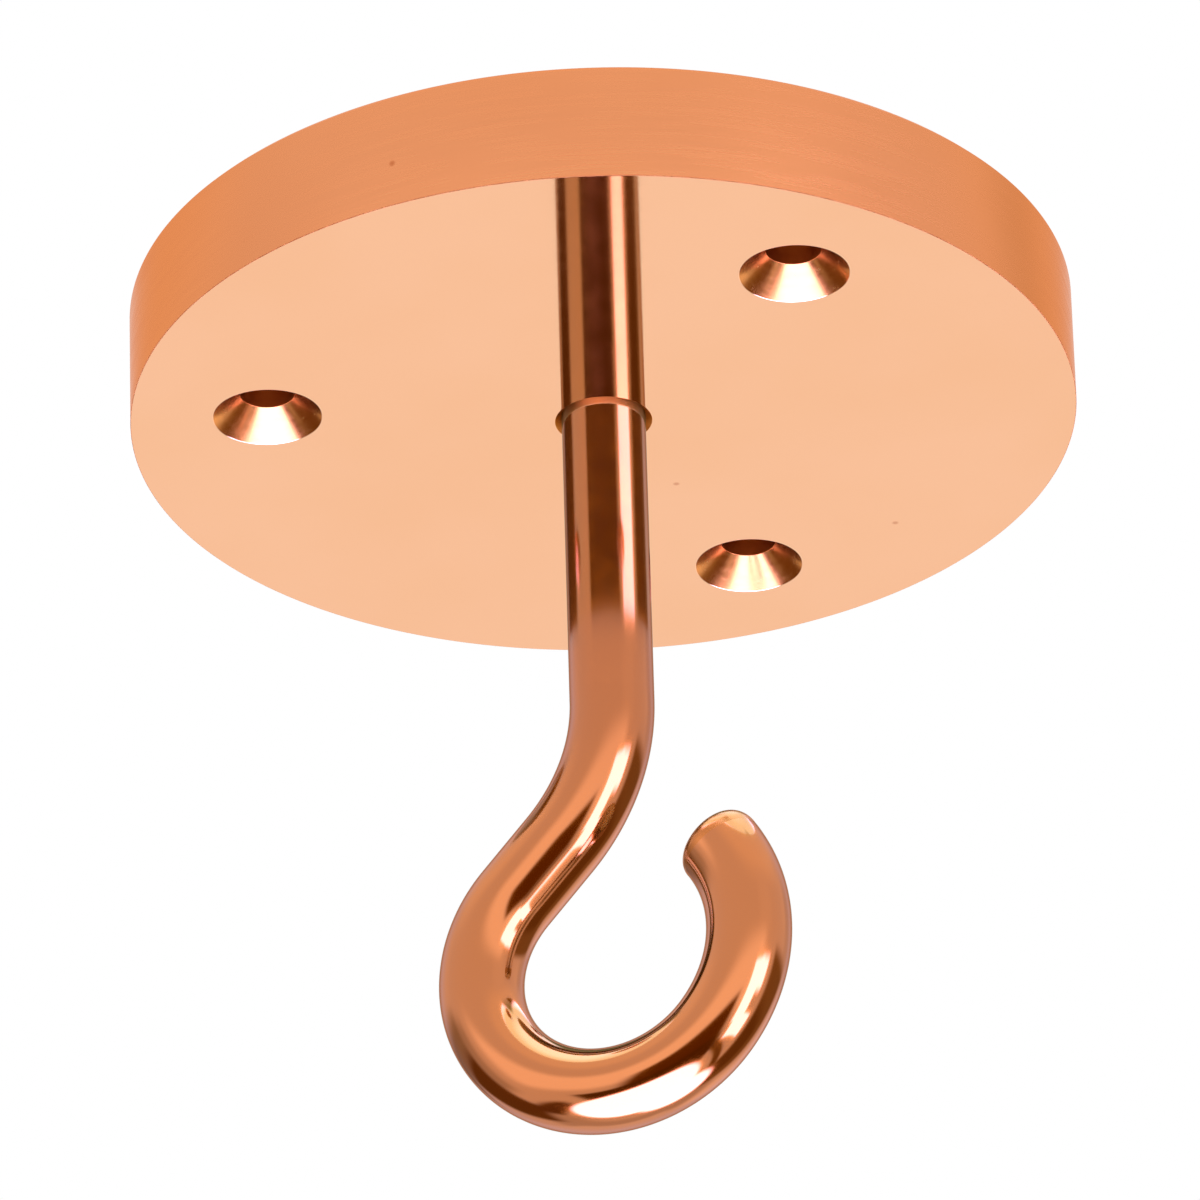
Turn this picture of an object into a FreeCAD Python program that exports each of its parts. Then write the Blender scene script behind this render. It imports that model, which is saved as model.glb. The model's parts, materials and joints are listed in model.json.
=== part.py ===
# Ceiling hook: a thick round plate, screwed to a ceiling through three countersunk holes, and a hook
# bent from round bar whose threaded end is screwed into the middle of the plate.
#
# The origin is the centre of the plate's back face, which lies against the ceiling. Z points up into
# the ceiling, so the whole object hangs below it, and the hook is bent in the XZ plane with its open
# side towards +X. Lengths are millimetres and angles are degrees.

import FreeCAD, Part
import Sketcher
import math
import os

DIMENSIONS = [
    # alias, value, what it is
    ("plate_diameter", 90.0, "outer diameter of the ceiling plate"),
    ("plate_thickness", 12.0, "thickness of the ceiling plate"),
    ("plate_edge_radius", 0.15, "rounding of the edge between rim and visible face"),
    ("plate_back_chamfer", 0.5, "chamfer on the rim at the back face"),
    ("fixing_hole_count", 3, "screw holes in the plate"),
    ("fixing_circle_diameter", 64.0, "circle on which the screw holes lie"),
    ("fixing_hole_diameter", 5.2, "clearance hole for a 5 mm countersunk wood screw"),
    ("countersink_diameter", 10.4, "countersink at the visible face"),
    ("countersink_angle", 90.0, "included angle of the countersink"),
    ("fixing_clocking", 83.5, "first screw hole, counterclockwise from +X seen from above"),
    ("thread_hole_chamfer", 0.6, "chamfer at both mouths of the middle hole"),
    ("rod_diameter", 8.0, "round bar of the hook, and nominal size of its thread"),
    ("thread_end_gap", 1.0, "how far the threaded end stays below the back face"),
    ("thread_end_chamfer", 0.8, "lead-in chamfer of the threaded end"),
    ("shank_depth", 42.5, "back face to the start of the upper bend"),
    ("upper_bend_radius", 20.5, "centreline radius of the bend out of the shank"),
    ("upper_bend_angle", 43.5, "turn of that bend, away from +X"),
    ("neck_length", 6.5, "straight bar between upper bend and bowl"),
    ("bowl_radius", 12.9, "centreline radius of the bowl that carries the load"),
    ("bowl_angle", 184.0, "turn of the bowl, back towards +X and up"),
    ("horn_radius", 15.5, "centreline radius of the last stretch up to the tip"),
    ("horn_angle", 78.5, "turn of that stretch"),
    ("tip_radius", 1.6, "rounding of the cut end of the bar"),
]


def make_dimension_sheet(doc):
    """The spreadsheet that every sketch and feature takes its sizes from."""
    sheet = doc.addObject("Spreadsheet::Sheet", "Dimensions")
    for row, (alias, value, meaning) in enumerate(DIMENSIONS, start=1):
        sheet.set(f"A{row}", alias)
        sheet.set(f"B{row}", str(value))
        sheet.set(f"C{row}", meaning)
        sheet.setAlias(f"B{row}", alias)
    doc.recompute()
    return sheet


def origin_feature(body, role):
    """One of the body's own origin planes or axes, such as XZ_Plane or Z_Axis."""
    return next(feature for feature in body.Origin.OriginFeatures if feature.Role == role)


def new_sketch(body, name, role):
    """An empty sketch on one of the body's origin planes."""
    sketch = body.newObject("Sketcher::SketchObject", name)
    sketch.AttachmentSupport = [(origin_feature(body, role), "")]
    sketch.MapMode = "FlatFace"
    return sketch


def dimension(sketch, name, expression, *constraint):
    """Adds a named constraint whose value follows a sheet expression."""
    index = sketch.addConstraint(Sketcher.Constraint(*constraint))
    sketch.renameConstraint(index, name)
    sketch.setExpression(f".Constraints.{name}", expression)
    return index


def circle_edges(shape, radius, centre):
    """Names of the full-circle edges of that radius around that point."""
    names = []
    for number, edge in enumerate(shape.Edges, start=1):
        curve = edge.Curve
        if not isinstance(curve, Part.Circle):
            continue
        if abs(curve.Radius - radius) < 1e-4 and (curve.Center - centre).Length < 1e-3:
            names.append(f"Edge{number}")
    return names


START = 1
END = 2
CENTRE = 3
ORIGIN = -1
VERTICAL_AXIS = -2


def vector(x, y):
    return FreeCAD.Vector(x, y, 0)


def draw_plate_section(body, size):
    """Half of the turned plate's section, right of its axis: rim, both faces and the middle hole."""
    sketch = new_sketch(body, "plate_section", "XZ_Plane")
    outer = size("plate_diameter") / 2
    inner = size("rod_diameter") / 2
    depth = size("plate_thickness")
    edge = size("plate_edge_radius")
    back = size("plate_back_chamfer")
    mouth = size("thread_hole_chamfer")
    corners = [
        vector(inner + mouth, 0),
        vector(outer - back, 0),
        vector(outer, -back),
        vector(outer, edge - depth),
        vector(outer - edge, -depth),
        vector(inner + mouth, -depth),
        vector(inner, mouth - depth),
        vector(inner, -mouth),
    ]
    (back_face, back_edge, rim, edge_round, front_face, front_mouth, bore, back_mouth) = range(8)
    for side in range(8):
        begin, finish = corners[side], corners[(side + 1) % 8]
        if side == edge_round:
            middle = vector(outer - edge, edge - depth)
            circle = Part.Circle(middle, FreeCAD.Vector(0, 0, 1), edge)
            sketch.addGeometry(Part.ArcOfCircle(circle, 1.5 * math.pi, 2 * math.pi))
        else:
            sketch.addGeometry(Part.LineSegment(begin, finish))
    for side in range(8):
        following = (side + 1) % 8
        if side == rim:
            sketch.addConstraint(Sketcher.Constraint("Tangent", rim, END, edge_round, END))
        elif side == edge_round:
            sketch.addConstraint(Sketcher.Constraint("Tangent", edge_round, START, front_face, START))
        else:
            sketch.addConstraint(Sketcher.Constraint("Coincident", side, END, following, START))
    for side in (back_face, front_face):
        sketch.addConstraint(Sketcher.Constraint("Horizontal", side))
    for side in (rim, bore):
        sketch.addConstraint(Sketcher.Constraint("Vertical", side))
    dimension(sketch, "rim_radius", "Dimensions.plate_diameter / 2",
              "DistanceX", ORIGIN, START, rim, START, outer)
    dimension(sketch, "bore_radius", "Dimensions.rod_diameter / 2",
              "DistanceX", ORIGIN, START, bore, START, inner)
    dimension(sketch, "thickness", "Dimensions.plate_thickness",
              "DistanceY", front_face, START, back_face, START, depth)
    sketch.addConstraint(Sketcher.Constraint("PointOnObject", back_face, START, -1))
    dimension(sketch, "edge_radius", "Dimensions.plate_edge_radius", "Radius", edge_round, edge)
    dimension(sketch, "back_chamfer_width", "Dimensions.plate_back_chamfer",
              "DistanceX", back_edge, START, back_edge, END, back)
    dimension(sketch, "back_chamfer_depth", "Dimensions.plate_back_chamfer",
              "DistanceY", back_edge, END, back_edge, START, back)
    dimension(sketch, "front_mouth_width", "Dimensions.thread_hole_chamfer",
              "DistanceX", front_mouth, END, front_mouth, START, mouth)
    dimension(sketch, "front_mouth_depth", "Dimensions.thread_hole_chamfer",
              "DistanceY", front_mouth, START, front_mouth, END, mouth)
    dimension(sketch, "back_mouth_width", "Dimensions.thread_hole_chamfer",
              "DistanceX", back_mouth, START, back_mouth, END, mouth)
    dimension(sketch, "back_mouth_depth", "Dimensions.thread_hole_chamfer",
              "DistanceY", back_mouth, START, back_mouth, END, mouth)
    return sketch


def make_ceiling_plate(doc, size):
    """The plate: turned with its middle hole, then drilled and countersunk for three screws."""
    body = doc.addObject("PartDesign::Body", "ceiling_plate")
    body.Label = "ceiling_plate"

    disc = body.newObject("PartDesign::Revolution", "turned_disc")
    disc.Profile = draw_plate_section(body, size)
    disc.ReferenceAxis = (origin_feature(body, "Z_Axis"), [""])
    disc.Angle = 360
    doc.recompute()

    # The drilling is done from the visible face, which is the plane one thickness below the back.
    spot = new_sketch(body, "screw_hole_centre", "XY_Plane")
    spot.setExpression(".AttachmentOffset.Base.z", "-Dimensions.plate_thickness")
    spot.setExpression(".AttachmentOffset.Rotation.Angle", "Dimensions.fixing_clocking * 1 deg")
    spot.AttachmentOffset = FreeCAD.Placement(
        vector(0, 0), FreeCAD.Rotation(FreeCAD.Vector(0, 0, 1), size("fixing_clocking"))
    )
    reach = size("fixing_circle_diameter") / 2
    bore = size("fixing_hole_diameter") / 2
    spot.addGeometry(Part.Circle(vector(reach, 0), FreeCAD.Vector(0, 0, 1), bore))
    spot.addConstraint(Sketcher.Constraint("PointOnObject", 0, CENTRE, -1))
    dimension(spot, "reach", "Dimensions.fixing_circle_diameter / 2",
              "DistanceX", ORIGIN, START, 0, CENTRE, reach)
    dimension(spot, "bore", "Dimensions.fixing_hole_diameter / 2", "Radius", 0, bore)
    doc.recompute()

    hole = body.newObject("PartDesign::Hole", "screw_hole")
    hole.Profile = spot
    doc.recompute()
    hole.Threaded = False
    hole.DepthType = "ThroughAll"
    hole.HoleCutType = "Countersink"
    hole.HoleCutCustomValues = True
    hole.Reversed = True
    hole.setExpression("Diameter", "Dimensions.fixing_hole_diameter")
    hole.setExpression("HoleCutDiameter", "Dimensions.countersink_diameter")
    hole.setExpression("HoleCutCountersinkAngle", "Dimensions.countersink_angle * 1 deg")
    doc.recompute()

    holes = body.newObject("PartDesign::PolarPattern", "screw_holes")
    holes.Originals = [hole]
    holes.Axis = (origin_feature(body, "Z_Axis"), [""])
    holes.Angle = 360
    holes.setExpression("Occurrences", "Dimensions.fixing_hole_count")
    body.Tip = holes
    doc.recompute()
    return body


def draw_hook_path(body, size):
    """Centreline of the bent bar: shank, upper bend, neck, bowl and horn, each tangent to the next."""
    sketch = new_sketch(body, "hook_path", "XZ_Plane")
    normal = FreeCAD.Vector(0, 0, 1)
    shank, upper_bend, neck, bowl, horn = range(5)

    turn = math.radians(size("upper_bend_angle"))
    bend_radius = size("upper_bend_radius")
    bend_start = vector(0, -size("shank_depth"))
    bend_centre = bend_start + vector(-bend_radius, 0)
    bend_end = bend_centre + vector(math.cos(turn), -math.sin(turn)) * bend_radius
    neck_end = bend_end - vector(math.sin(turn), math.cos(turn)) * size("neck_length")
    bowl_radius = size("bowl_radius")
    bowl_centre = neck_end + vector(math.cos(turn), -math.sin(turn)) * bowl_radius
    bowl_from = math.pi - turn
    bowl_to = bowl_from + math.radians(size("bowl_angle"))
    horn_radius = size("horn_radius")
    bowl_end_way = vector(math.cos(bowl_to), math.sin(bowl_to))
    horn_centre = bowl_centre + bowl_end_way * (bowl_radius - horn_radius)
    horn_to = bowl_to + math.radians(size("horn_angle"))

    sketch.addGeometry(Part.LineSegment(vector(0, -size("thread_end_gap")), bend_start))
    sketch.addGeometry(Part.ArcOfCircle(Part.Circle(bend_centre, normal, bend_radius), -turn, 0))
    sketch.addGeometry(Part.LineSegment(bend_end, neck_end))
    sketch.addGeometry(
        Part.ArcOfCircle(Part.Circle(bowl_centre, normal, bowl_radius), bowl_from, bowl_to)
    )
    sketch.addGeometry(
        Part.ArcOfCircle(Part.Circle(horn_centre, normal, horn_radius), bowl_to, horn_to)
    )

    sketch.addConstraint(Sketcher.Constraint("PointOnObject", shank, START, VERTICAL_AXIS))
    sketch.addConstraint(Sketcher.Constraint("Vertical", shank))
    sketch.addConstraint(Sketcher.Constraint("Tangent", shank, END, upper_bend, END))
    sketch.addConstraint(Sketcher.Constraint("Tangent", upper_bend, START, neck, START))
    sketch.addConstraint(Sketcher.Constraint("Tangent", neck, END, bowl, START))
    sketch.addConstraint(Sketcher.Constraint("Tangent", bowl, END, horn, START))
    dimension(sketch, "thread_end", "Dimensions.thread_end_gap",
              "DistanceY", shank, START, ORIGIN, START, size("thread_end_gap"))
    dimension(sketch, "shank_end", "Dimensions.shank_depth",
              "DistanceY", shank, END, ORIGIN, START, size("shank_depth"))
    dimension(sketch, "upper_bend", "Dimensions.upper_bend_radius",
              "Radius", upper_bend, bend_radius)
    dimension(sketch, "upper_turn", "Dimensions.upper_bend_angle * 1 deg",
              "Angle", upper_bend, turn)
    dimension(sketch, "neck", "Dimensions.neck_length", "Distance", neck, size("neck_length"))
    dimension(sketch, "bowl", "Dimensions.bowl_radius", "Radius", bowl, bowl_radius)
    dimension(sketch, "bowl_turn", "Dimensions.bowl_angle * 1 deg",
              "Angle", bowl, math.radians(size("bowl_angle")))
    dimension(sketch, "horn", "Dimensions.horn_radius", "Radius", horn, horn_radius)
    dimension(sketch, "horn_turn", "Dimensions.horn_angle * 1 deg",
              "Angle", horn, math.radians(size("horn_angle")))
    return sketch


def make_hook(doc, size):
    """The hook: round bar swept along its bent path, with a lead-in on the thread and a soft tip."""
    body = doc.addObject("PartDesign::Body", "hook")
    body.Label = "hook"

    path = draw_hook_path(body, size)
    section = new_sketch(body, "bar_section", "XY_Plane")
    section.setExpression(".AttachmentOffset.Base.z", "-Dimensions.thread_end_gap")
    radius = size("rod_diameter") / 2
    section.addGeometry(Part.Circle(vector(0, 0), FreeCAD.Vector(0, 0, 1), radius))
    section.addConstraint(Sketcher.Constraint("Coincident", 0, CENTRE, ORIGIN, START))
    dimension(section, "bar_radius", "Dimensions.rod_diameter / 2", "Radius", 0, radius)
    doc.recompute()

    bar = body.newObject("PartDesign::AdditivePipe", "bent_bar")
    bar.Profile = section
    bar.Spine = (path, [f"Edge{number}" for number in range(1, len(path.Geometry) + 1)])
    doc.recompute()

    thread_end = FreeCAD.Vector(0, 0, -size("thread_end_gap"))
    lead_in = body.newObject("PartDesign::Chamfer", "thread_lead_in")
    lead_in.Base = (bar, circle_edges(bar.Shape, radius, thread_end))
    lead_in.setExpression("Size", "Dimensions.thread_end_chamfer")
    doc.recompute()

    horn = path.Shape.Edges[-1]
    tip_point = max((vertex.Point for vertex in horn.Vertexes), key=lambda point: point.z)
    tip = body.newObject("PartDesign::Fillet", "rounded_tip")
    tip.Base = (lead_in, circle_edges(lead_in.Shape, radius, tip_point))
    tip.setExpression("Radius", "Dimensions.tip_radius")
    body.Tip = tip
    doc.recompute()
    return body


def check_document(doc, parts):
    """Stops with a plain message if any feature failed or any part isn't one valid solid."""
    for item in doc.Objects:
        if "Invalid" in item.State or "Error" in item.State:
            raise RuntimeError(f"{item.Name} failed: {item.State}")
    for part in parts:
        shape = part.Shape
        if shape.isNull() or not shape.isValid() or len(shape.Solids) != 1:
            raise RuntimeError(f"{part.Label} is not one valid solid")


def main():
    doc = FreeCAD.newDocument("ceiling_hook")
    sheet = make_dimension_sheet(doc)

    def size(alias):
        return float(sheet.get(alias))

    parts = [make_ceiling_plate(doc, size), make_hook(doc, size)]
    check_document(doc, parts)

    os.makedirs("parts", exist_ok=True)
    for part in parts:
        part.Shape.exportStep(f"parts/{part.Label}.step")
        box = part.Shape.optimalBoundingBox(False)
        print(f"{part.Label}: {box.XLength:.2f} x {box.YLength:.2f} x {box.ZLength:.2f} mm,"
              f" {part.Shape.Volume:.0f} mm3, lowest point at z = {box.ZMin:.2f}")


main()
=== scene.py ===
"""Looks of the ceiling hook: polished copper plate and bent bar, in a plain pale studio.

Lengths are metres unless a name says otherwise. The frame is the CAD model's own: the origin is the
centre of the plate's back face, Z points up into the ceiling and the hook is bent in the XZ plane.
"""

import json
import math

import bmesh
import bpy
from mathutils import Matrix, Vector


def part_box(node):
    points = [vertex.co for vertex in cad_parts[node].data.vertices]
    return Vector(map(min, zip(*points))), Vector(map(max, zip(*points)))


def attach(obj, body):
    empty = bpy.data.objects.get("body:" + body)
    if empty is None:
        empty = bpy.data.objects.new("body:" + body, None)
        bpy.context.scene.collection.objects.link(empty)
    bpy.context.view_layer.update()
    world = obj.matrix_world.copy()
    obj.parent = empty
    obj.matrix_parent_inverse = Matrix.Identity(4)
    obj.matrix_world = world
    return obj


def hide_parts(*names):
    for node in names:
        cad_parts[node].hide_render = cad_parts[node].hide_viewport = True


MM = 0.001

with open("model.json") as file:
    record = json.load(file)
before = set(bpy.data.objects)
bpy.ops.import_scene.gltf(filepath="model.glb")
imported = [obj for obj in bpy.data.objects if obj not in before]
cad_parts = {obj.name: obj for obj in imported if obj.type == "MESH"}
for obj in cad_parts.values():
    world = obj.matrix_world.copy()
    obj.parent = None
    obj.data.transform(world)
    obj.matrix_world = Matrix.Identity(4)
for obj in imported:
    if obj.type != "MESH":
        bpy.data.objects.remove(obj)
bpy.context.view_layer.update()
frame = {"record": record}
plate_low, plate_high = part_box("ceiling_plate")
_, hook_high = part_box("hook")
hole_sizes = next(m for m in frame["record"]["mounts"] if m["name"] == "fixing_holes")["dims"]

# Plate
PLATE_RADIUS = plate_high.x
FACE_Z = plate_low.z
EDGE_RADIUS = 0.06 * MM              # rounding between the face and the rim
BACK_CHAMFER = 0.5 * MM
HOLE_COUNT = hole_sizes["count"]
HOLE_CIRCLE_RADIUS = hole_sizes["pcd_mm"] / 2 * MM
HOLE_RADIUS = hole_sizes["hole_r_mm"] * MM
HOLE_CLOCKING = math.radians(83.5)   # from the hook's open side to the first screw hole
COUNTERSINK_RADIUS = 5.2 * MM
THREAD_MOUTH_CHAMFER = 0.6 * MM
CRISP_EDGE = 0.08 * MM   # rounding of edges that look sharp
HOLE_EDGE = 0.15 * MM    # rounding at the mouths of the screw holes

# Hook
BAR_RADIUS = hook_high.y
THREAD_END_Z = hook_high.z
THREAD_END_CHAMFER = 0.8 * MM
SHANK_DEPTH = 42.5 * MM
UPPER_BEND_RADIUS = 20.5 * MM
UPPER_BEND_ANGLE = math.radians(43.5)
NECK_LENGTH = 6.5 * MM
BOWL_RADIUS = 12.9 * MM
BOWL_ANGLE = math.radians(184.0)
HORN_RADIUS = 15.5 * MM
HORN_ANGLE = math.radians(78.5)
TIP_RADIUS = 1.6 * MM

# Small stains on the plate, at full strength over the core's share of their radius
SPECK_RADIUS = 0.42 * MM
SPECK_CORE = 0.3
SPECK_SHADE = (0.76, 0.62, 0.54)

# Copper finish
CLOUD_SCALE = 45.0               # soft variation between the two tints of a finish
CLOUD_SPAN = (0.35, 0.65)        # noise values at which each of the two tints is pure
MARKS_SPAN = (0.3, 0.7)          # noise values of the glossiest and the dullest marks
GLOSS_SPREAD = 0.15              # share by which the marks change the roughness
RELIEF_DEPTH = 0.02 * MM
LACQUER_FADE = (0.62, 0.88)      # the lacquer fades between these: 0 is square on, 1 is edge on

# Mesh density
RIM_SEGMENTS = 360
HOLE_SEGMENTS = 96
BAR_SEGMENTS = 96
BAR_STEP = 0.4 * MM      # distance between the bar's cross-sections
ROUNDING_STEPS = 6
TIP_ROUNDING_STEPS = 14
CAP_INSET = 0.06         # share of an end cap's radius that its outer ring of quads takes

# Camera: the photograph is taken from below and far away with a long lens.
CAMERA_AZIMUTH = math.radians(18.867)
CAMERA_DISTANCE = 1.14787
CAMERA_ELEVATION = math.radians(-30.565)
CAMERA_YAW = -0.00086
CAMERA_PITCH = 0.50951
CAMERA_ROLL = -0.02936
SENSOR_WIDTH_MM = 36.0
LENS_MM = 360.0

CLIP_START = 0.05
CLIP_END = 50.0

FLOOR_Z = -2.4
FLOOR_SIZE = 14.0
FLOOR_COLOUR = (0.90, 0.89, 0.87)


def rounded(corners, steps=ROUNDING_STEPS):
    """Outline through 2D corners, given as (x, y, rounding radius), with arcs at the rounded ones."""
    outline = []
    last = len(corners) - 1
    for number, (x, y, radius) in enumerate(corners):
        corner = Vector((x, y))
        if radius == 0 or number in (0, last):
            outline.append(corner)
            continue
        before = (Vector(corners[number - 1][:2]) - corner).normalized()
        after = (Vector(corners[number + 1][:2]) - corner).normalized()
        half_angle = before.angle(after) / 2
        reach = radius / math.tan(half_angle)
        centre = corner + (before + after).normalized() * (radius / math.sin(half_angle))
        start = corner + before * reach - centre
        finish = corner + after * reach - centre
        turn = start.angle(finish)
        for step in range(steps + 1):
            share = step / steps
            arm = start * (math.sin((1 - share) * turn) / math.sin(turn))
            arm += finish * (math.sin(share * turn) / math.sin(turn))
            outline.append(centre + arm)
    return outline


def bridge(bm, first, second, material):
    """Quads between two rings of equal count."""
    count = len(first)
    for i in range(count):
        j = (i + 1) % count
        face = bm.faces.new((first[i], first[j], second[j], second[i]))
        face.material_index = material
        face.smooth = True


def turned_surface(bm, centre, outline, segments, finish_of):
    """Revolves an outline of (radius, height) points about a vertical axis.

    finish_of gives the finish of the band after a point of the outline. Returns the two end rings.
    """
    rings = []
    for radius, height in outline:
        ring = []
        for i in range(segments):
            turn = 2 * math.pi * i / segments
            offset = Vector((radius * math.cos(turn), radius * math.sin(turn), height))
            ring.append(bm.verts.new(centre + offset))
        rings.append(ring)
    for number in range(len(rings) - 1):
        bridge(bm, rings[number], rings[number + 1], finish_of(outline, number))
    return rings[0], rings[-1]


def ring_edges(bm, ring):
    """The edges that join a ring's vertices in order."""
    count = len(ring)
    edges = []
    for i in range(count):
        pair = (ring[i], ring[(i + 1) % count])
        edges.append(bm.edges.get(pair) or bm.edges.new(pair))
    return edges


def flat_fill(bm, rings, normal, material):
    """Fills the flat region between an outer ring and the rings inside it."""
    edges = [edge for ring in rings for edge in ring_edges(bm, ring)]
    made = bmesh.ops.triangle_fill(bm, use_beauty=True, edges=edges, normal=normal)
    for face in (item for item in made["geom"] if isinstance(item, bmesh.types.BMFace)):
        face.material_index = material
        face.smooth = True


def finish_mesh(bm, name):
    """Turns a finished bmesh into an object with outward faces."""
    bmesh.ops.recalc_face_normals(bm, faces=bm.faces)
    mesh = bpy.data.meshes.new(name)
    bm.to_mesh(mesh)
    bm.free()
    piece = bpy.data.objects.new(name, mesh)
    bpy.context.scene.collection.objects.link(piece)
    return piece


# The finishes of the plate. What their values mean is explained at copper().
FACE, EDGE, RIM, SINK, BORE, MOUTH = range(6)
PLATE_FINISHES = [
    dict(
        name="plate_face_copper", light=(0.980, 0.512, 0.280), deep=(0.965, 0.495, 0.258),
        # Painted reflection: seen square on from other copper, the face is darkened, most between
        # 0.12 and 0.17, and from 0.24 on towards edge on it is nearly white; painted shade and light
        # in reflections.
        painted_reflection_colours=[
            (0.05, (0.36, 0.56, 0.32)),
            (0.12, (0.24, 0.38, 0.16)),
            (0.17, (0.24, 0.38, 0.16)),
            (0.24, (0.93, 0.97, 0.86)),
        ],
        roughness=0.05, coat=0.9, marks_per_metre=(700, 700, 700), relief_strength=0.02,
        specks=[(2.4 * MM, 14.0 * MM, FACE_Z), (19.5 * MM, 29.2 * MM, FACE_Z)],
    ),
    dict(
        name="plate_edge_copper", light=(0.80, 0.36, 0.14), deep=(0.79, 0.35, 0.13),
        painted_reflection_colours=[(0.0, (0.80, 0.50, 0.35))],
        roughness=0.90, coat=0.0, marks_per_metre=(700, 700, 700), relief_strength=0.02,
    ),
    dict(
        name="plate_rim_copper", light=(0.850, 0.322, 0.140), deep=(0.835, 0.310, 0.132),
        painted_reflection_colours=[(0.0, (0.80, 0.50, 0.35))],
        roughness=0.26, coat=0.0, marks_per_metre=(120, 120, 2600), relief_strength=0.10,
        edge_tint=(0.90, 0.62, 0.46), specks=[(-4.6 * MM, -44.8 * MM, -7.5 * MM)],
    ),
    dict(
        name="plate_sink_copper", light=(0.84, 0.33, 0.105), deep=(0.80, 0.31, 0.095),
        painted_reflection_colours=[(0.0, (0.60, 0.38, 0.26))],
        roughness=0.24, coat=0.0, marks_per_metre=(700, 700, 2600), relief_strength=0.02,
    ),
    # Painted shade: the bore's darker, deeper-red colour stands in for the shade inside the screw
    # holes; its roughness and relief are those of a drilled bore.
    dict(
        name="plate_bore_painted_shade_copper", light=(0.80, 0.26, 0.05), deep=(0.60, 0.18, 0.03),
        painted_reflection_colours=[(0.0, (0.40, 0.16, 0.06))],
        roughness=0.45, coat=0.0, marks_per_metre=(700, 700, 2600), relief_strength=0.30,
    ),
    dict(
        name="plate_mouth_copper", light=(0.76, 0.33, 0.10), deep=(0.73, 0.31, 0.09),
        painted_reflection_colours=[(0.0, (0.64, 0.76, 0.48))],
        roughness=0.42, coat=0.0, marks_per_metre=(700, 700, 2600), relief_strength=0.02,
        edge_tint=(0.50, 0.25, 0.10),
    ),
]


def make_plate():
    """The ceiling plate: rim, two flat faces, three countersunk holes and the threaded hole."""
    bm = bmesh.new()
    middle = Vector((0, 0, 0))
    face_inset = EDGE_RADIUS + CRISP_EDGE
    back_inset = BACK_CHAMFER + 2 * CRISP_EDGE
    sink_depth = COUNTERSINK_RADIUS - HOLE_RADIUS    # a 90 degree countersink

    def rim_finish(outline, number):
        if number == 0:
            return FACE
        return EDGE if number <= ROUNDING_STEPS else RIM

    def screw_hole_finish(outline, number):
        depth = outline[number + 1][1] - FACE_Z
        if depth > sink_depth + CRISP_EDGE / 4:
            return BORE
        return SINK if depth > HOLE_EDGE else FACE

    def thread_hole_finish(outline, number):
        return FACE if number == 0 else MOUTH

    rim = rounded([
        (PLATE_RADIUS - face_inset, FACE_Z, 0),
        (PLATE_RADIUS, FACE_Z, EDGE_RADIUS),
        (PLATE_RADIUS, -BACK_CHAMFER, CRISP_EDGE),
        (PLATE_RADIUS - BACK_CHAMFER, 0, CRISP_EDGE),
        (PLATE_RADIUS - back_inset, 0, 0),
    ])
    face_outer, back_outer = turned_surface(bm, middle, rim, RIM_SEGMENTS, rim_finish)

    screw_hole = rounded([
        (COUNTERSINK_RADIUS + 2 * HOLE_EDGE, FACE_Z, 0),
        (COUNTERSINK_RADIUS, FACE_Z, HOLE_EDGE),
        (HOLE_RADIUS, FACE_Z + sink_depth, CRISP_EDGE),
        (HOLE_RADIUS, 0, HOLE_EDGE),
        (HOLE_RADIUS + 2 * HOLE_EDGE, 0, 0),
    ])
    face_rings, back_rings = [face_outer], [back_outer]
    for number in range(HOLE_COUNT):
        angle = HOLE_CLOCKING + 2 * math.pi * number / HOLE_COUNT
        centre = Vector((math.cos(angle), math.sin(angle), 0)) * HOLE_CIRCLE_RADIUS
        mouth, back = turned_surface(bm, centre, screw_hole, HOLE_SEGMENTS, screw_hole_finish)
        face_rings.append(mouth)
        back_rings.append(back)

    wide = BAR_RADIUS + THREAD_MOUTH_CHAMFER
    thread_hole = rounded([
        (wide + 2 * CRISP_EDGE, FACE_Z, 0),
        (wide, FACE_Z, CRISP_EDGE),
        (BAR_RADIUS, FACE_Z + THREAD_MOUTH_CHAMFER, CRISP_EDGE),
        (BAR_RADIUS, -THREAD_MOUTH_CHAMFER, CRISP_EDGE),
        (wide, 0, CRISP_EDGE),
        (wide + 2 * CRISP_EDGE, 0, 0),
    ])
    mouth, back = turned_surface(bm, middle, thread_hole, HOLE_SEGMENTS, thread_hole_finish)
    face_rings.append(mouth)
    back_rings.append(back)

    flat_fill(bm, face_rings, (0, 0, -1), FACE)
    flat_fill(bm, back_rings, (0, 0, 1), RIM)
    return finish_mesh(bm, "polished_plate")


class BarPath:
    """Walks the bar's centreline in the XZ plane. A heading of 0 points straight down."""

    def __init__(self, height):
        self.point = Vector((0, 0, height))
        self.heading = 0.0
        self.stations = [(self.point.copy(), self.heading)]

    def direction(self, heading):
        return Vector((-math.sin(heading), 0, -math.cos(heading)))

    def straight(self, length):
        steps = max(1, round(length / BAR_STEP))
        start = self.point.copy()
        for step in range(1, steps + 1):
            self.point = start + self.direction(self.heading) * (length * step / steps)
            self.stations.append((self.point.copy(), self.heading))

    def bend(self, radius, angle):
        """Turns by angle: positive bends towards -X while going down, negative towards +X."""
        side = 1 if angle > 0 else -1
        across = Vector((math.cos(self.heading), 0, -math.sin(self.heading)))
        centre = self.point - across * (side * radius)
        first = self.heading
        steps = max(1, round(radius * abs(angle) / BAR_STEP))
        for step in range(1, steps + 1):
            self.heading = first + angle * step / steps
            across = Vector((math.cos(self.heading), 0, -math.sin(self.heading)))
            self.point = centre + across * (side * radius)
            self.stations.append((self.point.copy(), self.heading))


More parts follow.
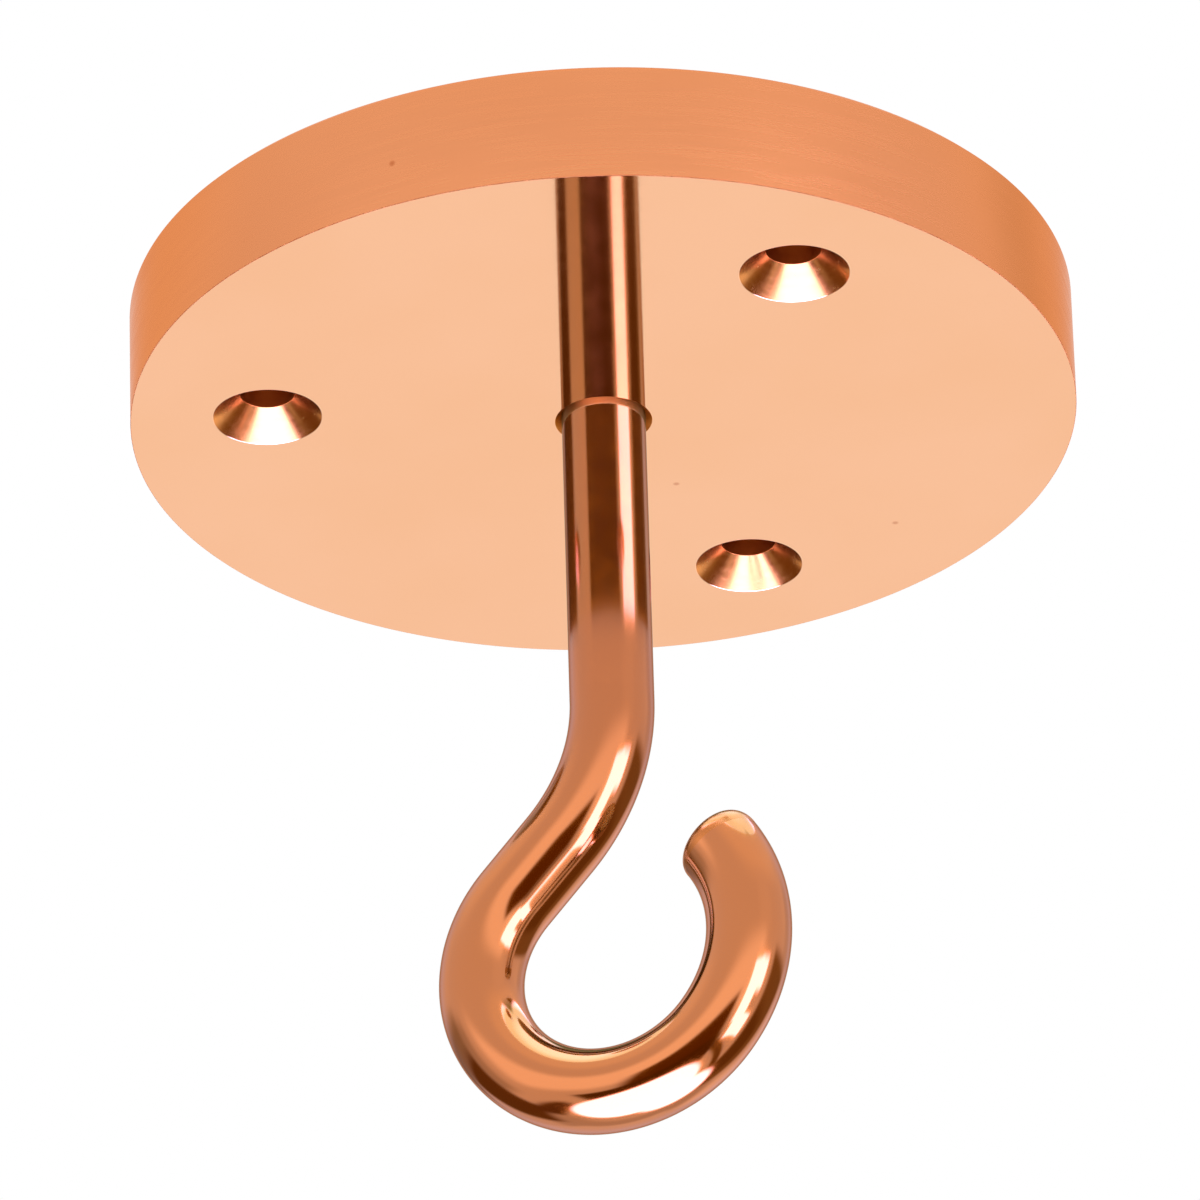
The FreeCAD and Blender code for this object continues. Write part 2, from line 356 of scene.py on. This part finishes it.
# The finishes of the hook. BAR has what three of them share.
SHANK, NECK, HORN, END = range(4)
BAR = dict(
    light=(0.572, 0.137, 0.009), deep=(0.555, 0.130, 0.007),
    # Painted light: the lift makes the bar's colour lighter from 44 mm down to 62 mm below the
    # ceiling, in place of more light falling on the lower bar.
    painted_light_lift=(-44 * MM, -62 * MM, (1.10, 1.22, 2.0)),
    coat=1.0, coat_ior=1.75, marks_per_metre=(500, 500, 500), relief_strength=0.03,
    edge_tint=(0.50, 0.33, 0.21),
)
HOOK_FINISHES = [
    dict(
        name="hook_shank_copper", **BAR, roughness=0.17, coat_roughness=0.10,
        painted_reflection_colours=[(0.0, (0.54, 0.29, 0.12))],
    ),
    dict(
        name="hook_neck_copper", **BAR, roughness=0.12, coat_roughness=0.06, coat_in_metal=0.1,
        # Painted reflection: other copper sees the neck dark up to 0.50 and lighter from 0.65 on,
        # which draws painted dark lines where the neck is mirrored.
        painted_reflection_colours=[(0.50, (0.20, 0.18, 0.09)), (0.65, (0.48, 0.38, 0.24))],
    ),
    dict(
        name="hook_horn_copper", **BAR, roughness=0.12, coat_roughness=0.06, coat_in_metal=0.1,
        painted_reflection_colours=[(0.0, (0.78, 0.72, 0.65))],
    ),
    dict(
        name="hook_end_copper", light=(0.62, 0.175, 0.024), deep=(0.58, 0.160, 0.020),
        painted_reflection_colours=[(0.0, (0.30, 0.18, 0.08))],
        roughness=0.28, coat=1.0, coat_ior=1.5, coat_roughness=0.20, coat_in_metal=0.1,
        marks_per_metre=(900, 900, 900), relief_strength=0.03,
    ),
]


def make_hook():
    """The bent bar, with a lead-in chamfer on its threaded end and a rounded tip."""
    path = BarPath(THREAD_END_Z)
    path.straight(SHANK_DEPTH + THREAD_END_Z)
    path.bend(UPPER_BEND_RADIUS, UPPER_BEND_ANGLE)
    path.straight(NECK_LENGTH)
    path.bend(BOWL_RADIUS, -BOWL_ANGLE)
    path.bend(HORN_RADIUS, -HORN_ANGLE)

    lead_in = rounded([
        (0, 0, 0),
        (BAR_RADIUS - THREAD_END_CHAMFER, 0, CRISP_EDGE),
        (BAR_RADIUS, THREAD_END_CHAMFER, CRISP_EDGE),
        (BAR_RADIUS, 2 * THREAD_END_CHAMFER, 0),
    ])
    tip = rounded([
        (BAR_RADIUS, TIP_RADIUS, 0),
        (BAR_RADIUS, 0, TIP_RADIUS),
        (0, 0, 0),
    ], steps=TIP_ROUNDING_STEPS)

    bm = bmesh.new()

    def bar_ring(centre, heading, radius):
        across = Vector((math.cos(heading), 0, -math.sin(heading)))
        ring = []
        for i in range(BAR_SEGMENTS):
            angle = 2 * math.pi * i / BAR_SEGMENTS
            offset = across * math.cos(angle) + Vector((0, math.sin(angle), 0))
            ring.append(bm.verts.new(centre + offset * radius))
        return ring

    rings = []
    start_point, start_heading = path.stations[0]
    for radius, depth in lead_in[1:]:
        centre = start_point + path.direction(start_heading) * depth
        rings.append((bar_ring(centre, start_heading, radius), SHANK))

    # The path's own cross-sections start after the lead-in and stop before the rounded tip.
    skip_start = math.ceil(2 * THREAD_END_CHAMFER / BAR_STEP) + 1
    skip_end = math.ceil(TIP_RADIUS / BAR_STEP) + 1
    for point, heading in path.stations[skip_start:-skip_end]:
        if point.z > -SHANK_DEPTH:
            finish = SHANK
        else:
            finish = NECK if heading > -math.pi / 2 else HORN
        rings.append((bar_ring(point, heading, BAR_RADIUS), finish))

    # Towards the tip the bar goes on round its last bend, and only the radius shrinks.
    end_point, end_heading = path.stations[-1]
    across = Vector((math.cos(end_heading), 0, -math.sin(end_heading)))
    bend_centre = end_point + across * HORN_RADIUS
    for radius, depth in tip[1:-1]:
        heading = end_heading + depth / HORN_RADIUS
        outward = Vector((math.cos(heading), 0, -math.sin(heading)))
        rings.append((bar_ring(bend_centre - outward * HORN_RADIUS, heading, radius), END))

    for (first, _), (second, finish) in zip(rings, rings[1:]):
        bridge(bm, first, second, finish)
    for ring, finish in (rings[0], rings[-1]):
        middle = sum((vert.co for vert in ring), Vector()) / len(ring)
        inner = [bm.verts.new(vert.co.lerp(middle, CAP_INSET)) for vert in ring]
        bridge(bm, ring, inner, finish)
        cap = bm.faces.new(inner)
        cap.material_index = finish
        cap.smooth = True
    return finish_mesh(bm, "bent_hook")


def new_material(name):
    material = bpy.data.materials.new(name)
    material.use_nodes = True
    material.node_tree.nodes.clear()
    return material


def add_node(tree, kind, inputs=None, **settings):
    """A node with its settings and input values or links given by name or number."""
    node = tree.nodes.new(kind)
    for key, value in settings.items():
        setattr(node, key, value)
    for key, value in (inputs or {}).items():
        socket = node.inputs[key]
        if isinstance(value, bpy.types.NodeSocket):
            tree.links.new(value, socket)
        else:
            socket.default_value = value
    return node


def copper(name, light, deep, painted_reflection_colours, roughness, coat, marks_per_metre, relief_strength,
           painted_light_lift=None, coat_ior=1.5, coat_roughness=0.03, coat_in_metal=1.0,
           edge_tint=(0.75, 0.60, 0.50), specks=()):
    """Copper colour in two close tints, fine finishing marks and, on polished parts, a clear lacquer.

    light and deep are the two tints.
    painted_reflection_colours has the colours that a reflection in other copper starts from: painted
    reflection colours, so that copper seen in copper keeps its hue, as the photograph shows it, and
    doesn't turn red with every bounce, and which also darken or lighten copper mirrored in copper by
    angle, as painted shade and light. Each comes with how low the reflection meets the surface, from
    0 for squarely to 1 for level with it.
    coat is the weight of the lacquer, which fades where it is seen nearly edge on, and coat_in_metal
    the share of it that a reflection in other copper sees. marks_per_metre is given along X, Y and
    Z; unequal values make brushed lines. edge_tint is the colour of a glancing reflection. lift has
    two heights, and how much lighter the colour is from the second on down: painted light, which
    makes the lower part lighter in place of more light falling there. Each speck is a point
    with a small dark stain.
    """
    material = new_material(name)
    tree = material.node_tree
    place = add_node(tree, "ShaderNodeTexCoord").outputs["Object"]
    clouds = add_node(tree, "ShaderNodeTexNoise", {
        "Vector": place, "Scale": CLOUD_SCALE, "Detail": 3.0,
    })
    tint = add_node(tree, "ShaderNodeValToRGB", {"Fac": clouds.outputs["Fac"]})
    for element, position, colour in zip(tint.color_ramp.elements, CLOUD_SPAN, (light, deep)):
        element.position = position
        element.color = (*colour, 1)
    tint = tint.outputs["Color"]
    # Painted light: the lift lightens the colour from its second height on down, standing in for more
    # light on the lower part.
    if painted_light_lift:
        height = add_node(tree, "ShaderNodeSeparateXYZ", {"Vector": place})
        lower = add_node(tree, "ShaderNodeMapRange", {
            "Value": height.outputs["Z"], "From Min": painted_light_lift[0], "From Max": painted_light_lift[1],
        }, interpolation_type="SMOOTHSTEP")
        lighter = add_node(tree, "ShaderNodeVectorMath", {0: tint, 1: painted_light_lift[2]}, operation="MULTIPLY")
        painted_light_lifted = add_node(tree, "ShaderNodeMixRGB", {
            "Fac": lower.outputs["Result"], "Color1": tint, "Color2": lighter.outputs["Vector"],
        })
        tint = painted_light_lifted.outputs["Color"]
    for speck in specks:
        away = add_node(tree, "ShaderNodeVectorMath", {0: place, 1: speck}, operation="DISTANCE")
        stain = add_node(tree, "ShaderNodeMapRange", {
            "Value": away.outputs["Value"],
            "From Min": SPECK_CORE * SPECK_RADIUS,
            "From Max": SPECK_RADIUS,
            "To Min": 1.0,
            "To Max": 0.0,
        }, interpolation_type="SMOOTHSTEP")
        stained = add_node(tree, "ShaderNodeMixRGB", {
            "Fac": stain.outputs["Result"], "Color1": tint, "Color2": (*SPECK_SHADE, 1),
        }, blend_type="MULTIPLY")
        tint = stained.outputs["Color"]
    # Painted reflection: rays from other copper take their base colour from
    # painted_reflection_colours by angle, which sets the hue and the painted lightness or shade of
    # copper mirrored in copper.
    angle = add_node(tree, "ShaderNodeLayerWeight", {"Blend": 0.5})
    painted_reflection = add_node(tree, "ShaderNodeValToRGB", {"Fac": angle.outputs["Facing"]})
    stops = painted_reflection.color_ramp.elements
    while len(stops) < len(painted_reflection_colours):
        stops.new(1.0)
    while len(stops) > len(painted_reflection_colours):
        stops.remove(stops[-1])
    for element, (position, colour) in zip(stops, painted_reflection_colours):
        element.position = position
        element.color = (*colour, 1)
    rays = add_node(tree, "ShaderNodeLightPath")
    base = add_node(tree, "ShaderNodeMixRGB", {
        "Fac": rays.outputs["Is Glossy Ray"], "Color1": tint, "Color2": painted_reflection.outputs["Color"],
    })
    lacquer = coat
    if coat:
        directly = add_node(tree, "ShaderNodeMapRange", {
            "Value": rays.outputs["Is Glossy Ray"], "To Min": coat, "To Max": coat * coat_in_metal,
        })
        edge_on = add_node(tree, "ShaderNodeMapRange", {
            "Value": angle.outputs["Facing"],
            "From Min": LACQUER_FADE[0],
            "From Max": LACQUER_FADE[1],
            "To Min": 1.0,
            "To Max": 0.0,
        }, interpolation_type="SMOOTHSTEP")
        lacquer = add_node(tree, "ShaderNodeMath", {
            0: directly.outputs["Result"], 1: edge_on.outputs["Result"],
        }, operation="MULTIPLY").outputs["Value"]
    stretched = add_node(tree, "ShaderNodeMapping", {"Vector": place, "Scale": marks_per_metre})
    marks = add_node(tree, "ShaderNodeTexNoise", {
        "Vector": stretched.outputs["Vector"], "Scale": 1.0, "Detail": 4.0,
    })
    gloss = add_node(tree, "ShaderNodeMapRange", {
        "Value": marks.outputs["Fac"],
        "From Min": MARKS_SPAN[0],
        "From Max": MARKS_SPAN[1],
        "To Min": roughness * (1 - GLOSS_SPREAD),
        "To Max": roughness * (1 + GLOSS_SPREAD),
    })
    relief = add_node(tree, "ShaderNodeBump", {
        "Height": marks.outputs["Fac"],
        "Strength": relief_strength,
        "Distance": RELIEF_DEPTH,
    })
    shader = add_node(tree, "ShaderNodeBsdfPrincipled", {
        "Base Color": base.outputs["Color"],
        "Roughness": gloss.outputs["Result"],
        "Normal": relief.outputs["Normal"],
        "Metallic": 1.0,
        "Specular Tint": (*edge_tint, 1),
        "Coat Weight": lacquer,
        "Coat IOR": coat_ior,
        "Coat Roughness": coat_roughness,
    })
    add_node(tree, "ShaderNodeOutputMaterial", {"Surface": shader.outputs["BSDF"]})
    return material


def camera_frame():
    """The camera's place and its right, up and forward directions in the object's frame."""
    turn = Matrix.Rotation(CAMERA_AZIMUTH, 3, "Z")
    place = Vector((0, -math.cos(CAMERA_ELEVATION), math.sin(CAMERA_ELEVATION))) * CAMERA_DISTANCE
    forward = Vector((
        math.sin(CAMERA_YAW) * math.cos(CAMERA_PITCH),
        math.cos(CAMERA_YAW) * math.cos(CAMERA_PITCH),
        math.sin(CAMERA_PITCH),
    ))
    level_right = Vector((math.cos(CAMERA_YAW), -math.sin(CAMERA_YAW), 0))
    level_up = level_right.cross(forward)
    right = math.cos(CAMERA_ROLL) * level_right + math.sin(CAMERA_ROLL) * level_up
    up = math.cos(CAMERA_ROLL) * level_up - math.sin(CAMERA_ROLL) * level_right
    return turn @ place, turn @ right, turn @ up, turn @ forward


def make_camera():
    """The photograph's camera, with a long lens and no blur."""
    place, right, up, forward = camera_frame()
    data = bpy.data.cameras.new("photo_camera")
    data.sensor_width = SENSOR_WIDTH_MM
    data.lens = LENS_MM
    data.clip_start = CLIP_START
    data.clip_end = CLIP_END
    data.dof.use_dof = False
    camera = bpy.data.objects.new("photo_camera", data)
    bpy.context.scene.collection.objects.link(camera)
    axes = Matrix((right, up, -forward)).transposed().to_4x4()
    camera.matrix_world = Matrix.Translation(place) @ axes
    bpy.context.scene.camera = camera


# The studio round the object, as its reflections show it. Angles are degrees; azimuth is counted
# from the camera's side, to the right. Each card is laid over the ones before it, and is half faded
# at its edges. It gets wider by flare on each side for each degree down from its middle, and climbs
# by tilt for each degree to the right. Its level is its brightness, where 1 is white.
WALL = (0.90, 0.88, 0.86)
CARDS = [
    # name, azimuth from, to, elevation from, to, soft sides, soft top and foot, flare, tilt, level
    ("upper_wall", -180, 180, 40, 100, 1, 14, 0, 0, (1.08, 1.03, 0.90)),
    ("back_wall", 100, 260, 20, 44, 20, 8, 0, 0, (0.97, 0.93, 0.86)),
    ("glow", 30, 62, 12, 40, 14, 14, 0, 0, (0.95, 0.93, 0.90)),
    ("light_right_back", 138, 176, -28, 12, 14, 12, 0, 0, (1.22, 1.20, 1.16)),
    ("low_back", 118, 244, -58, -34, 20, 10, 0, 0, (0.66, 0.64, 0.62)),
    ("light_band", -68, 50, -14, 17, 16, 12, 0, 0, (1.40, 1.38, 1.34)),
    ("dim_left", -115, -82, -22, 15, 14, 10, 0, 0, (0.56, 0.54, 0.50)),
    ("dim_left_back", -158, -98, 0, 16, 16, 12, 0, 0, (0.38, 0.34, 0.26)),
    ("dim_right_back", 112, 132, 4, 36, 12, 12, 0, 0, (0.80, 0.76, 0.68)),
    ("dark_left_back", -142, -98, -44, 2, 10, 10, 0, 0, (0.16, 0.08, 0.02)),
    ("dark_left_low", -114, -66, -52, -36, 14, 6, 0, 0, (0.15, 0.07, 0.02)),
    ("dark_right", 82, 128, -54, 11, 10, 8, 0, 0, (0.26, 0.17, 0.06)),
    ("dark_right_core", 86, 116, -50, -12, 8, 14, 0, 0, (0.17, 0.09, 0.02)),
    ("dark_link", 28, 84, -46, -38, 8, 3, 0, -0.33, (0.18, 0.09, 0.02)),
    ("dark_front", -31, 27, -47, -4, 8, 6, 0.15, 0, (0.14, 0.05, 0.00)),
    ("dark_front_foot", -51, 30, -46, -25, 6, 4, 0, 0, (0.10, 0.04, 0.00)),
    ("window", 36, 57, -22, 6, 3, 3, 0, 0, (5.5, 5.0, 9.0)),
    ("window_head", 50, 69, -9, 6, 3, 6, 0, 0, (5.5, 5.0, 9.0)),
    ("window_foot", 40, 73, -32, -20, 3, 2, 0, 0, (5.5, 5.0, 9.0)),
    ("backdrop", 158, 202, -42, 62, 8, 8, 0, 0, (1.0, 1.0, 1.0)),
]
SPOTS = [
    # name, azimuth, elevation, angular radius, soft edge, level
    ("table_side", 110, -68, 20, 6, (6.0, 5.5, 11.0)),
    ("table", -20, -73, 34, 4, (6.0, 5.5, 11.0)),
]


def make_world():
    """The studio as a world: the wall, then every card and spot over it. The camera sees white."""
    world = bpy.data.worlds.new("studio")
    world.use_nodes = True
    tree = world.node_tree
    tree.nodes.clear()
    bpy.context.scene.world = world

    def maths(operation, *values):
        node = add_node(tree, "ShaderNodeMath", dict(enumerate(values)), operation=operation)
        return node.outputs[0]

    def along(direction, axis):
        node = add_node(tree, "ShaderNodeVectorMath", {
            0: direction, 1: axis,
        }, operation="DOT_PRODUCT")
        return node.outputs["Value"]

    def fade(value, full, none):
        """1 where value is below full, 0 above none, smooth between."""
        node = add_node(tree, "ShaderNodeMapRange", {
            "Value": value, "From Min": full, "From Max": none, "To Min": 1.0, "To Max": 0.0,
        }, interpolation_type="SMOOTHSTEP")
        return node.outputs["Result"]

    def lay_over(below, mask, colour):
        node = add_node(tree, "ShaderNodeMixRGB", {
            "Fac": mask, "Color1": below, "Color2": (*colour, 1),
        })
        return node.outputs["Color"]

    camera_place = camera_frame()[0]
    front = Vector((camera_place.x, camera_place.y, 0)).normalized()
    side = Vector((-front.y, front.x, 0))
    direction = add_node(tree, "ShaderNodeTexCoord").outputs["Generated"]
    azimuth = maths("DEGREES", maths("ARCTAN2", along(direction, side), along(direction, front)))
    elevation = maths("DEGREES", maths("ARCSINE", along(direction, Vector((0, 0, 1)))))

    colour = add_node(tree, "ShaderNodeRGB")
    colour.outputs[0].default_value = (*WALL, 1)
    colour = colour.outputs[0]
    for _, left, right, low, high, soft_sides, soft_top, flare, tilt, level in CARDS:
        sideways = maths("WRAP", maths("SUBTRACT", azimuth, (left + right) / 2), 180.0, -180.0)
        climb = maths("MULTIPLY", sideways, tilt)
        above = maths("SUBTRACT", maths("SUBTRACT", elevation, (low + high) / 2), climb)
        flared = maths("ADD", maths("ABSOLUTE", sideways), maths("MULTIPLY", above, flare))
        half_width, half_height = (right - left) / 2, (high - low) / 2
        across = fade(flared, half_width - soft_sides / 2, half_width + soft_sides / 2)
        off_middle = maths("ABSOLUTE", above)
        upright = fade(off_middle, half_height - soft_top / 2, half_height + soft_top / 2)
        colour = lay_over(colour, maths("MULTIPLY", across, upright), level)
    for _, spot_azimuth, spot_elevation, radius, soft, level in SPOTS:
        turn, rise = math.radians(spot_azimuth), math.radians(spot_elevation)
        axis = (front * math.cos(turn) + side * math.sin(turn)) * math.cos(rise)
        axis.z = math.sin(rise)
        away = maths("DEGREES", maths("ARCCOSINE", along(direction, axis)))
        colour = lay_over(colour, fade(away, radius - soft / 2, radius + soft / 2), level)

    rays = add_node(tree, "ShaderNodeLightPath")
    seen = add_node(tree, "ShaderNodeMixRGB", {
        "Fac": rays.outputs["Is Camera Ray"], "Color1": colour, "Color2": (1, 1, 1, 1),
    })
    sky = add_node(tree, "ShaderNodeBackground", {"Color": seen.outputs["Color"], "Strength": 1.0})
    add_node(tree, "ShaderNodeOutputWorld", {"Surface": sky.outputs["Background"]})


def make_floor():
    """A plain pale floor, one storey below the ceiling that the plate is screwed to."""
    bm = bmesh.new()
    bmesh.ops.create_grid(bm, x_segments=1, y_segments=1, size=FLOOR_SIZE / 2)
    floor = finish_mesh(bm, "floor")
    floor.location.z = FLOOR_Z
    material = new_material("pale_floor")
    tree = material.node_tree
    matt = add_node(tree, "ShaderNodeBsdfDiffuse", {"Color": (*FLOOR_COLOUR, 1)})
    white = add_node(tree, "ShaderNodeEmission", {"Color": (1, 1, 1, 1), "Strength": 1.0})
    rays = add_node(tree, "ShaderNodeLightPath")
    mixed = add_node(tree, "ShaderNodeMixShader", {
        "Fac": rays.outputs["Is Camera Ray"], 1: matt.outputs[0], 2: white.outputs[0],
    })
    add_node(tree, "ShaderNodeOutputMaterial", {"Surface": mixed.outputs[0]})
    floor.data.materials.append(material)
    floor.visible_glossy = False


def main():
    make_camera()
    make_world()
    make_floor()
    bpy.context.scene.view_settings.view_transform = "Standard"

    plate = make_plate()
    hook = make_hook()
    for piece, finishes in ((plate, PLATE_FINISHES), (hook, HOOK_FINISHES)):
        for finish in finishes:
            piece.data.materials.append(copper(**finish))
    slots = ((plate, "ceiling_plate", "plate_copper"), (hook, "hook", "hook_copper"))
    for piece, node, slot in slots:
        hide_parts(node)
        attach(piece, "root")


main()
